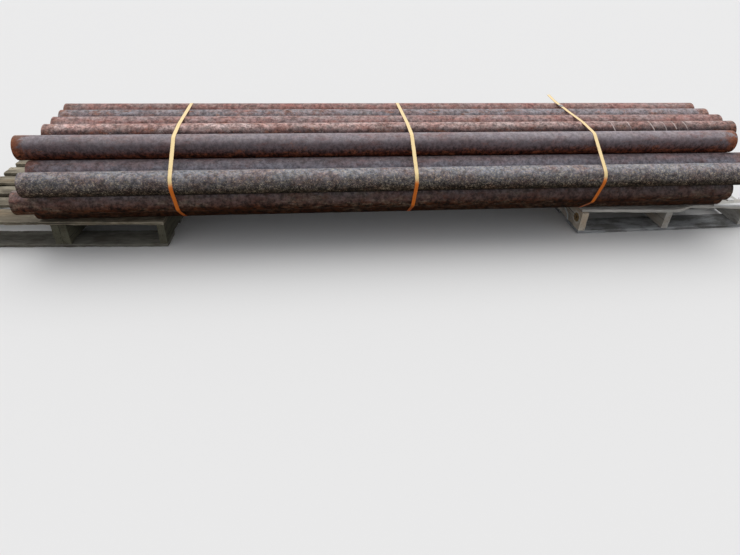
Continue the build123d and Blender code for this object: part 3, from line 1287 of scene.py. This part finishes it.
@dataclass
class Carpentry:
    """Turns boards into weathered timber pieces, and drives their nails."""

    effects: SurfaceEffects
    relief: float = 0.0011
    arris: float = 0.0030
    nail_radius: float = 0.0034
    nail_depth: float = 0.0020
    nail_sides: int = 14
    nail_taper: float = 0.78
    smallest_nail: float = 0.82
    nail_seed: int = 5

    def __post_init__(self) -> None:
        """Builds the timber and nail trees and the shared finishes."""
        self.timber_tree = self.build_timber_tree()
        self.nail_tree = self.build_nail_tree()
        self.pale_timber = PALE_TIMBER.material("pale split timber", self.effects)
        self.nail = NailFinish().material("nail iron", self.effects)

    def build_timber_tree(self) -> Tree:
        """Builds the geometry tree that weathers boards: worn arrises and sunk soft grain.

        Returns:
            The tree.
        """
        numbers = {"Relief": self.relief, "Arris": self.arris}
        inputs = {"Geometry": "Geometry", **numbers, "Material": "Material"}
        parts = new_tree("Weathered boards", TreeKind.GEOMETRY, inputs, "Geometry")
        w, source = parts.wiring, parts.inputs
        read = "GeometryNodeInputNamedAttribute"
        board = w.out(read, {"Name": "board_uvw"}, data_type="FLOAT_VECTOR")
        edge = w.out(read, {"Name": "edge"}, data_type="FLOAT")
        fibre = w.noise(w.vector_math("MULTIPLY", board, (7.0, 95.0, 95.0)), 1.0, 3.0, 0.6)
        sunk = w.times(w.ramp(fibre, 0.35, 0.7), source["Relief"])
        chips = w.noise(w.vector_math("MULTIPLY", board, (16.0, 60.0, 60.0)), 1.0, 4.0, 0.65)
        worn = w.times(w.ramp(edge, 0.007, 0.0), w.times(w.ramp(chips, 0.36, 0.7), source["Arris"]))
        inwards = w.times(w.plus(sunk, worn), -1.0)
        offset = w.toned(w.out("GeometryNodeInputNormal"), inwards)
        moved = w.out("GeometryNodeSetPosition", {"Geometry": source["Geometry"], "Offset": offset})
        return parts.dress(moved, 0.8)

    def build_nail_tree(self) -> Tree:
        """Builds the geometry tree of the nail heads, one on each point.

        Returns:
            The tree.
        """
        numbers = {"Radius": self.nail_radius, "Depth": self.nail_depth, "Seed": self.nail_seed}
        inputs = {"Geometry": "Geometry", **numbers, "Material": "Material"}
        parts = new_tree("Nail heads", TreeKind.GEOMETRY, inputs, "Geometry")
        w, source = parts.wiring, parts.inputs
        cone = {"Vertices": self.nail_sides, "Radius Bottom": source["Radius"], "Depth": source["Depth"]}
        cone["Radius Top"] = w.times(source["Radius"], self.nail_taper)
        head = w.out("GeometryNodeMeshCone", cone)
        sizes = {2: self.smallest_nail, 3: 1.0, "Seed": source["Seed"]}
        chance = w.out("FunctionNodeRandomValue", sizes, 1, data_type="FLOAT")
        heads = {"Points": source["Geometry"], "Instance": head, "Scale": chance}
        return parts.dress(w.out("GeometryNodeInstanceOnPoints", heads), 0.5)

    def weather(
        self, name: str, boards: list[Board], material: Material, seed: int, slot: Slot, node: str
    ) -> None:
        """Makes one piece of one or more boards.

        Args:
            name: The piece's name.
            boards: Its boards.
            material: Its finish.
            seed: What moves the grain.
            slot: The material slot.
            node: The node that the piece stands for.
        """
        chance = Random(seed)
        timber = TimberMesh()
        for board in boards:
            timber.add(board, chance)
        piece = timber.piece(name)
        run_tree(piece, self.timber_tree, {"Relief": self.relief, "Arris": self.arris, "Material": material})
        settle(piece, slot, node)

    def drive_nails(self, name: str, spots: list[Vector]) -> None:
        """Makes the nail heads of a pallet.

        Args:
            name: The piece's name.
            spots: The middle of each head.
        """
        piece = new_piece(name, spots)
        values = {"Radius": self.nail_radius, "Depth": self.nail_depth, "Seed": self.nail_seed}
        run_tree(piece, self.nail_tree, {**values, "Material": self.nail})
        settle(piece, Slot.TIMBER)


@dataclass
class Pallet:
    """A stringer pallet of nailed boards, and what was broken or mended on it.

    The turn is in degrees. The companion is the length of a short stringer beside the middle one, or
    nought. The split's shape has points as shares of its taper and its depth, and each wave of its
    ragged edge has a height, a rate along the board and a start.
    """

    name: str
    finish: PalletFinish
    width: float
    turn: float
    middle_shift: float = 0.0
    setbacks: tuple[float, float, float] = (0.0, 0.0, 0.0)
    depth: float = 1.016
    stringer_width: float = 0.038
    stringer_height: float = 0.108
    board: float = 0.019
    lead: float = 0.140
    inner: float = 0.090
    companion: float = 0.0
    companion_gap: float = 0.0004
    split: bool = False
    board_setback: float = 0.0115
    skew: float = math.radians(-3.4)
    low_skew: float = math.radians(1.07)
    split_taper: float = 0.122
    split_depth: float = 0.054
    split_end: float = 0.046
    split_shape: Pairs = ((0.0, 0.0), (0.45, 0.3), (1.0, 0.93), (2.0, 1.0))
    split_waves: tuple[tuple[float, float, float], ...] = ((0.0008, 61.0, 0.0), (0.0006, 173.0, 1.0))
    nail_shares: tuple[float, float] = (0.24, 0.76)

    def frame(self) -> Matrix:
        """From the pallet's own front left corner to the bundle's frame.

        Returns:
            The pallet's place and turn.
        """
        low, high = box_of(f"{self.name}_stringer_1")
        turn = math.radians(self.turn)
        left = low.x if turn < 0.0 else low.x + self.depth * math.sin(turn)
        front = low.y if turn > 0.0 else high.y - self.depth * math.cos(turn)
        return Matrix.Translation((left, front, 0.0)) @ Matrix.Rotation(turn, 4, "Z")

    def rows(self, inner_count: int) -> Pairs:
        """The boards of one level.

        Args:
            inner_count: How many boards lie between the two lead boards.

        Returns:
            The start and width of each board across the depth.
        """
        widths = [self.lead] + [self.inner] * inner_count + [self.lead]
        gap = (self.depth - sum(widths)) / (len(widths) - 1)
        return [(sum(widths[:k]) + gap * k, width) for k, width in enumerate(widths)]

    @property
    def stringer_starts(self) -> list[float]:
        """Where each stringer starts across the width."""
        last = self.width - self.stringer_width
        return [0.0, last / 2 + self.middle_shift, last]

    @property
    def split_start(self) -> float:
        """Where the split begins, past the middle stringer."""
        return (self.width + self.stringer_width) / 2

    @property
    def board_length(self) -> float:
        """The length of the skewed board between the pallet's two sides."""
        return (self.width - self.lead * math.sin(-self.skew)) / math.cos(self.skew)

    def torn_edge(self, along: float) -> float:
        """How much is split off the front board.

        Args:
            along: The distance from the board's left end.

        Returns:
            The missing width there.
        """
        start, taper, depth = self.split_start, self.split_taper, self.split_depth
        knots = [(start + taper * run, depth * loss) for run, loss in self.split_shape]
        knots.append((self.board_length, self.split_end))
        for (near, first), (far, second) in zip(knots, knots[1:]):
            if near < along <= far + 1e-6:
                share = (along - near) / (far - near)
                ragged = sum(size * math.sin(along * rate + at) for size, rate, at in self.split_waves)
                return max(0.0, first + (second - first) * share + abs(ragged))
        return 0.0

    def fresh_wood(self, along: float) -> float:
        """How fresh the torn edge is, from the grey middle to the pale right end."""
        start = self.split_start + self.split_taper
        return min(1.0, max(0.0, (along - start) / (self.board_length - start))) ** 0.8

    def deck_board(self, frame: Matrix, row: int, start: float, width: float, level: float) -> Board:
        """One deck board, or one of the two that lie askew at the split front.

        Args:
            frame: The pallet's place.
            row: The board's number from the front.
            start: Where it starts across the depth.
            width: Its width.
            level: The height of its underside.

        Returns:
            The board.
        """
        if not self.split or row > 0:
            place = frame @ Matrix.Translation((0.0, start, level))
            return Board(place, self.width, width, self.board)
        if level == 0.0:
            return Board(frame @ Matrix.Rotation(self.low_skew, 4, "Z"), self.width, width, self.board)
        place = frame @ Matrix.Translation((0.0, self.board_setback, level))
        place = place @ Matrix.Rotation(self.skew, 4, "Z")
        torn = {"front_loss": self.torn_edge, "fresh": self.fresh_wood}
        return Board(place, self.board_length, width, self.board, **torn)

    def build(self, carpentry: Carpentry, seed: int) -> None:
        """Makes the pallet's stringers, boards and nail heads.

        Args:
            carpentry: What makes the timber.
            seed: What moves the grain.
        """
        frame = self.frame()
        self.build_stringers(carpentry, frame, seed)
        top = self.board + self.stringer_height
        levels = (("top", top, 5, self.finish.deck), ("bottom", 0.0, 3, self.finish.low))
        nails: list[Vector] = []
        for name, level, inner_count, finish in levels:
            rows = self.rows(inner_count)
            boards = [self.deck_board(frame, row, y, dy, level) for row, (y, dy) in enumerate(rows)]
            node = f"{self.name}_{name}_boards"
            material = finish.material(f"timber of {node}", carpentry.effects)
            carpentry.weather(f"timber_{node}", boards, material, seed + 10 + len(rows), Slot.TIMBER, node)
            height = level + self.board - carpentry.relief
            nails += self.nail_spots(frame, rows, height, Random(seed + len(rows)))
        carpentry.drive_nails(f"nails_{self.name}", nails)

    def build_stringers(self, carpentry: Carpentry, frame: Matrix, seed: int) -> None:
        """Makes the stringers, the first one with its knot where the finish has one.

        Args:
            carpentry: What makes the timber.
            frame: The pallet's place.
            seed: What moves the grain.
        """
        starts = self.stringer_starts
        beams = [(f"stringer_{k + 1}", starts[k], self.setbacks[k], self.depth) for k in range(3)]
        if self.companion:
            beside = starts[1] + self.stringer_width + self.companion_gap
            beams.append(("companion_stringer", beside, 0.0, self.companion))
        plain = self.finish.stringer.material(f"stringers of {self.name}", carpentry.effects)
        first = plain
        if self.finish.knotted:
            first = self.finish.knotted.material(f"knotted stringer of {self.name}", carpentry.effects)
        for number, (label, start, setback, length) in enumerate(beams, start=1):
            place = frame @ Matrix.Translation((start + self.stringer_width, setback, self.board))
            upright = place @ Matrix.Rotation(math.pi / 2, 4, "Z")
            beam = Board(upright, length, self.stringer_width, self.stringer_height)
            node = f"{self.name}_{label}"
            timber = first if number == 1 else plain
            carpentry.weather(f"timber_{node}", [beam], timber, seed + number, Slot.TIMBER, node)

    def nail_spots(self, frame: Matrix, rows: Pairs, height: float, chance: Random) -> list[Vector]:
        """Where the nails are: two in each board over each stringer, apart from the torn edge.

        Args:
            frame: The pallet's place.
            rows: The start and width of each board.
            height: The height of the heads' middles.
            chance: What moves them a little.

        Returns:
            The middles of the heads.
        """
        spots = []
        for row, (start, width) in enumerate(rows):
            torn = self.split and row == 0 and height > self.board
            for x in self.stringer_starts:
                for share in self.nail_shares[1:] if torn else self.nail_shares:
                    across = start + width * share + chance.uniform(-0.006, 0.006)
                    along = x + self.stringer_width / 2 + chance.uniform(-0.008, 0.008)
                    spots.append(frame @ Vector((along, across, height)))
        return spots


@dataclass
class LooseWood:
    """The pale wedge on the right pallet, and the split chip behind it.

    The chip's place is measured from the wedge's back left corner.
    """

    node: str = "loose_lath"
    point: float = 0.004
    wave: float = 0.0006
    wave_rate: float = 90.0
    chip_place: tuple[float, float, float] = (0.164, 0.0355, 0.0004)
    chip_turn: float = math.radians(93.6)
    chip_size: tuple[float, float, float] = (0.060, 0.037, 0.008)
    chip_taper: float = 0.16
    cell: float = 0.006

    def build(self, carpentry: Carpentry) -> None:
        """Makes the wedge and the chip as one piece.

        Args:
            carpentry: What makes the timber.
        """
        low, high = box_of(self.node)
        size = high - low
        slope = (size.y - self.point) / 2 / size.x

        def loss(along: float) -> float:
            """How much of the wedge's full width is missing on each side."""
            return slope * (size.x - along) + self.wave * (1 + math.sin(along * self.wave_rate))

        wedge = Board(Matrix.Translation(low), *size, front_loss=loss, back_loss=loss, cell=self.cell)
        corner = Vector((low.x, high.y, low.z)) + Vector(self.chip_place)
        turned = Matrix.Translation(corner) @ Matrix.Rotation(self.chip_turn, 4, "Z")
        chip = Board(
            turned, *self.chip_size, front_loss=lambda along: self.chip_taper * along, cell=self.cell
        )
        finish, slot = carpentry.pale_timber, Slot.PALE_TIMBER
        carpentry.weather("pale_lath", [wedge, chip], finish, Seed.LOOSE_WOOD, slot, self.node)


@dataclass
class BentStrip:
    """The pale bent strip on the outer side of the right pallet's first stringer.

    The spots are the (y, z) of its line, from the stringer's front and from the floor.
    """

    node: str = "right_pallet_stringer_1"
    finish: SealFinish = SealFinish(zinc=(0.78, 0.80, 0.78), stain_amount=0.12, metal=0.0)
    width: float = 0.010
    thickness: float = 0.0024
    inset: float = 0.0040
    spots: Pairs = (
        (0.212, 0.070),
        (0.196, 0.064),
        (0.176, 0.057),
        (0.160, 0.050),
        (0.149, 0.042),
        (0.143, 0.034),
        (0.140, 0.026),
        (0.139, 0.018),
    )

    def build(self, tree: Tree, effects: SurfaceEffects) -> None:
        """Makes the strip.

        Args:
            tree: The band tree.
            effects: The shared shader groups.
        """
        low, _ = box_of(self.node)
        side = low.x + self.inset
        piece = new_line("bent_strip", [(side, low.y + y, z) for y, z in self.spots])
        material = self.finish.material("steel of the bent strip", Seed.BENT_STRIP, effects)
        section = {"Width": self.thickness, "Thickness": self.width}
        run_tree(piece, tree, {**section, "Middle": side, "Material": material})
        settle(piece, Slot.SEAL)


@dataclass
class PhotoCamera:
    """The camera at the photograph's place and angle, with its angles in radians."""

    from_strap: float = -0.493775
    from_pipe: tuple[float, float] = (-2.525740, 0.924771)
    focal_pixels: float = 525.0
    image_width: float = 740.0
    sensor: float = 36.0
    yaw: float = 0.1230748
    pitch: float = 0.5965821
    roll: float = -0.0343506

    def eye(self) -> Vector:
        """The camera's place, measured from the middle strap and the first top pipe."""
        strap, pipe = (sum(box_of(node), Vector()) / 2 for node in ("strap_middle", "pipe_top_1"))
        return Vector((strap.x + self.from_strap, pipe.y + self.from_pipe[0], pipe.z + self.from_pipe[1]))

    def make(self) -> None:
        """Makes the camera and sets it as the scene's."""
        cos, sin = math.cos, math.sin
        ahead = Vector((sin(self.yaw) * cos(self.pitch), cos(self.yaw) * cos(self.pitch), -sin(self.pitch)))
        right = Vector((cos(self.yaw), -sin(self.yaw), 0.0))
        down = ahead.cross(right)
        turned_right = cos(self.roll) * right + sin(self.roll) * down
        turned_down = -sin(self.roll) * right + cos(self.roll) * down
        data = bpy.data.cameras.new("photo camera")
        data.sensor_fit = "HORIZONTAL"
        data.sensor_width = self.sensor
        data.lens = self.focal_pixels / self.image_width * self.sensor
        data.clip_end = 200.0
        camera = bpy.data.objects.new("photo camera", data)
        axes = Matrix((turned_right, -turned_down, -ahead)).transposed().to_4x4()
        camera.matrix_world = Matrix.Translation(self.eye()) @ axes
        bpy.context.scene.collection.objects.link(camera)
        bpy.context.scene.camera = camera


@dataclass
class Studio:
    """A plain pale floor under plain soft light."""

    floor_pale: Colour = (0.80, 0.79, 0.77)
    floor_grey: Colour = (0.22, 0.21, 0.19)
    floor_level: float = -0.0004
    half_size: float = 60.0
    sky: Colour = (0.93, 0.95, 1.0)
    sky_fill: float = 0.60
    sky_seen: float = 0.92
    key_strength: float = 1.55
    key_spread: float = math.radians(75.0)
    key_turn: tuple[float, float, float] = (math.radians(-16.0), math.radians(6.0), 0.0)

    def build(self) -> None:
        """Makes the floor, the world and the lamp."""
        self.make_floor()
        self.make_world()
        self.make_lamp()
        bpy.context.scene.view_settings.view_transform = "Standard"

    def make_floor(self) -> None:
        """Makes the floor, pale to the camera and mid grey to bounced light."""
        signs = ((-1, -1), (1, -1), (1, 1), (-1, 1))
        verts = [(x * self.half_size, y * self.half_size, self.floor_level) for x, y in signs]
        floor = new_piece("floor", verts, (), [(0, 1, 2, 3)])
        material, w = new_material("pale floor")
        path = w.add("ShaderNodeLightPath").outputs
        seen = w.math("MAXIMUM", path["Is Camera Ray"], path["Is Transmission Ray"])
        colour = w.blend(seen, self.floor_grey, self.floor_pale)
        inputs = {"Base Color": colour, "Roughness": 0.95, "Specular IOR Level": 0.1}
        w.add("ShaderNodeOutputMaterial", {"Surface": w.out("ShaderNodeBsdfPrincipled", inputs)})
        floor.data.materials.append(material)

    def make_world(self) -> None:
        """Makes the world: a soft fill that is pale where the camera or gloss sees it."""
        world = bpy.data.worlds.new("studio world")
        world.use_nodes = True
        world.node_tree.nodes.clear()
        w = Wiring(world.node_tree)
        path = w.add("ShaderNodeLightPath").outputs
        seen = w.math("MAXIMUM", path["Is Camera Ray"], path["Is Glossy Ray"])
        seen = w.math("MAXIMUM", seen, path["Is Transmission Ray"])
        strength = w.plus(self.sky_fill, w.times(seen, self.sky_seen - self.sky_fill))
        sky = w.out("ShaderNodeBackground", {"Color": self.sky, "Strength": strength})
        w.add("ShaderNodeOutputWorld", {"Surface": sky})
        bpy.context.scene.world = world

    def make_lamp(self) -> None:
        """Makes the one wide, soft lamp overhead."""
        data = bpy.data.lights.new("overhead", "SUN")
        data.energy = self.key_strength
        data.angle = self.key_spread
        lamp = bpy.data.objects.new("overhead", data)
        lamp.rotation_euler = self.key_turn
        bpy.context.scene.collection.objects.link(lamp)


PIPE_FINISHES = {
    "plain": PipeFinish(
        crown=(0.275, 0.240, 0.256), side=(0.112, 0.090, 0.096), belly=(0.052, 0.016, 0.009),
        primer=(0.132, 0.062, 0.052), primer_amount=0.30, rust_amount=0.22, low_rust=0.18,
        mottle=0.32, low_mottle=0.60,
    ),
    "red": PipeFinish(
        crown=(0.290, 0.215, 0.205), side=(0.130, 0.078, 0.070), primer_amount=0.50, rust_amount=0.32,
    ),
    "grey": PipeFinish(
        crown=(0.238, 0.238, 0.262), side=(0.106, 0.098, 0.104), belly=(0.030, 0.018, 0.012),
        speck=(0.440, 0.380, 0.280), primer_amount=0.20, rust_amount=0.22, speck_amount=0.60,
        low_speck=0.60, mottle=0.46, end_rust=0.3, roughness=0.68,
    ),
    "dirty": PipeFinish(
        crown=(0.215, 0.190, 0.198), side=(0.104, 0.074, 0.070), belly=(0.042, 0.016, 0.007),
        primer_amount=0.34, rust=(0.140, 0.055, 0.027), rust_amount=0.28, mud_amount=0.40,
        mottle=0.50, end_rust=0.4,
    ),
    "pipe_top_1": PipeFinish(
        crown=(0.288, 0.252, 0.270), side=(0.114, 0.092, 0.100), belly=(0.052, 0.012, 0.006),
        primer=(0.132, 0.060, 0.050), primer_amount=0.30, rust=(0.200, 0.066, 0.030),
        rust_amount=0.22, low_rust=0.24, bright_amount=0.32, mottle=0.26, low_mottle=0.75,
        end_rust=1.0,
    ),
    # The second top pipe: a narrow, bright painted highlight along the crown over dark sides
    "pipe_top_2": PipeFinish(
        crown=(0.560, 0.420, 0.395), side=(0.062, 0.044, 0.047), belly=(0.036, 0.022, 0.024),
        primer=(0.118, 0.060, 0.050), primer_amount=0.42, rust_amount=0.32, bright_amount=0.36,
        speck_amount=0.46, dust_amount=0.30, mottle=0.58, narrowing=2.4, tones=(1.06, 0.80),
        scratches=((1.114, 0.9), (1.210, 0.8), (1.336, 1.0), (1.410, 0.5), (1.468, 0.7), (1.532, 0.6)),
    ),
    "pipe_top_3": PipeFinish(
        crown=(0.350, 0.264, 0.260), side=(0.150, 0.090, 0.086), primer=(0.180, 0.086, 0.072),
        primer_amount=0.45, rust_amount=0.32, bright_amount=0.30, dust_amount=0.32, mottle=0.50,
        tones=(1.0, 1.0),
    ),
    "pipe_top_4": PipeFinish(
        crown=(0.268, 0.252, 0.272), side=(0.112, 0.098, 0.106), primer_amount=0.30,
        rust_amount=0.36, bright_amount=0.48, mottle=0.50,
    ),
    "pipe_top_5": PipeFinish(
        crown=(0.295, 0.222, 0.212), side=(0.145, 0.080, 0.072), primer=(0.168, 0.072, 0.060),
        primer_amount=0.50, rust_amount=0.32, dust_amount=0.32, mottle=0.50,
    ),
    # The first upper pipe: its lowest line darkened hard, painted shade
    "pipe_upper_1": PipeFinish(
        crown=(0.230, 0.236, 0.266), side=(0.104, 0.096, 0.100), belly=(0.022, 0.012, 0.006),
        speck=(0.470, 0.400, 0.285), primer_amount=0.18, rust_amount=0.24, speck_amount=0.72,
        low_speck=0.66, dust_amount=0.16, mud_amount=0.35, mottle=0.48, end_rust=0.15,
        grain=270.0, under=0.35, roughness=0.70,
    ),
    # The second upper pipe: the crown darker than the side, painted shade where the pipe above overhangs it
    "pipe_upper_2": PipeFinish(
        crown=(0.120, 0.102, 0.112), side=(0.204, 0.200, 0.232), primer=(0.115, 0.070, 0.068),
        primer_amount=0.32, rust_amount=0.22, speck_amount=0.36, dust_amount=0.10,
        tones=(0.98, 1.02),
    ),
    "pipe_middle_1": PipeFinish(
        crown=(0.210, 0.185, 0.195), side=(0.104, 0.070, 0.064), belly=(0.040, 0.010, 0.001),
        primer=(0.085, 0.042, 0.028), primer_amount=0.36, rust=(0.130, 0.050, 0.024),
        rust_amount=0.26, low_rust=0.12, dust_amount=0.10, mud_amount=0.48, mottle=0.52,
        low_mottle=0.45, end_rust=0.30, tones=(1.14, 0.84),
    ),
    # The first bottom pipe: dark all round, a painted shadow of the pipes above it
    "pipe_bottom_1": PipeFinish(
        crown=(0.095, 0.066, 0.056), side=(0.062, 0.032, 0.018), belly=(0.034, 0.011, 0.003),
        primer=(0.070, 0.032, 0.022), primer_amount=0.30, rust=(0.120, 0.050, 0.026),
        rust_amount=0.24, dust_amount=0.08, mud_amount=0.46, mottle=0.50, low_mottle=0.45,
        end_rust=0.35,
    ),
}

GREY_PALLET = PalletFinish(
    deck=TimberFinish(pale=(0.78, 0.75, 0.69), grey=(0.47, 0.455, 0.415)),
    stringer=TimberFinish(
        pale=(0.70, 0.68, 0.64), grey=(0.43, 0.415, 0.38), warm=(0.38, 0.27, 0.16), warm_amount=0.30,
    ),
    low=TimberFinish(
        pale=(0.500, 0.510, 0.510), grey=(0.200, 0.205, 0.205), soil=(0.070, 0.060, 0.046),
        warm_amount=0.10, soil_amount=0.50,
    ),
    knotted=TimberFinish(
        pale=(0.82, 0.76, 0.66), grey=(0.50, 0.43, 0.35), warm=(0.50, 0.34, 0.18), warm_amount=0.48,
        knot=(1.1296, -0.4010, 0.0770),
    ),
)
SOILED_AND_SHADED_PALLET = PalletFinish(
    deck=TimberFinish(
        pale=(0.480, 0.425, 0.315), grey=(0.165, 0.138, 0.098), dark=(0.040, 0.032, 0.024),
        warm=(0.165, 0.105, 0.048), soil=(0.070, 0.055, 0.034), warm_amount=0.34, soil_amount=0.46,
    ),
    # The stringers' very dark, greenish timber is partly weathered wood and partly painted shade
    stringer=TimberFinish(
        pale=(0.165, 0.152, 0.104), grey=(0.083, 0.080, 0.054), dark=(0.024, 0.022, 0.016),
        warm=(0.085, 0.064, 0.034), soil=(0.038, 0.034, 0.024), warm_amount=0.30, soil_amount=0.35,
    ),
    low=TimberFinish(
        pale=(0.240, 0.228, 0.188), grey=(0.120, 0.114, 0.092), soil=(0.064, 0.053, 0.037),
        warm_amount=0.12, soil_amount=0.48,
    ),
)

RIGHT_PALLET = Pallet(
    "right_pallet",
    GREY_PALLET,
    width=1.016,
    turn=0.35,
    middle_shift=0.0085,
    setbacks=(0.0, 0.0033, 0.0183),
    split=True,
)
LEFT_PALLET = Pallet("left_pallet", SOILED_AND_SHADED_PALLET, width=1.067, turn=-2.75, companion=0.400)


def main() -> None:
    """Builds the bundle, its pallets, the studio and the camera."""
    logging.basicConfig(level=logging.INFO, format="%(name)s: %(message)s")
    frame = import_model()
    PhotoCamera().make()
    effects = SurfaceEffects()
    pipes = PipePile(effects, PIPE_FINISHES).build()
    band_tree = Strapping(effects, pipes, frame["nodes"]).build()
    carpentry = Carpentry(effects)
    RIGHT_PALLET.build(carpentry, Seed.RIGHT_PALLET)
    LEFT_PALLET.build(carpentry, Seed.LEFT_PALLET)
    LooseWood().build(carpentry)
    BentStrip().build(band_tree, effects)
    Studio().build()


if __name__ == "__main__":
    main()
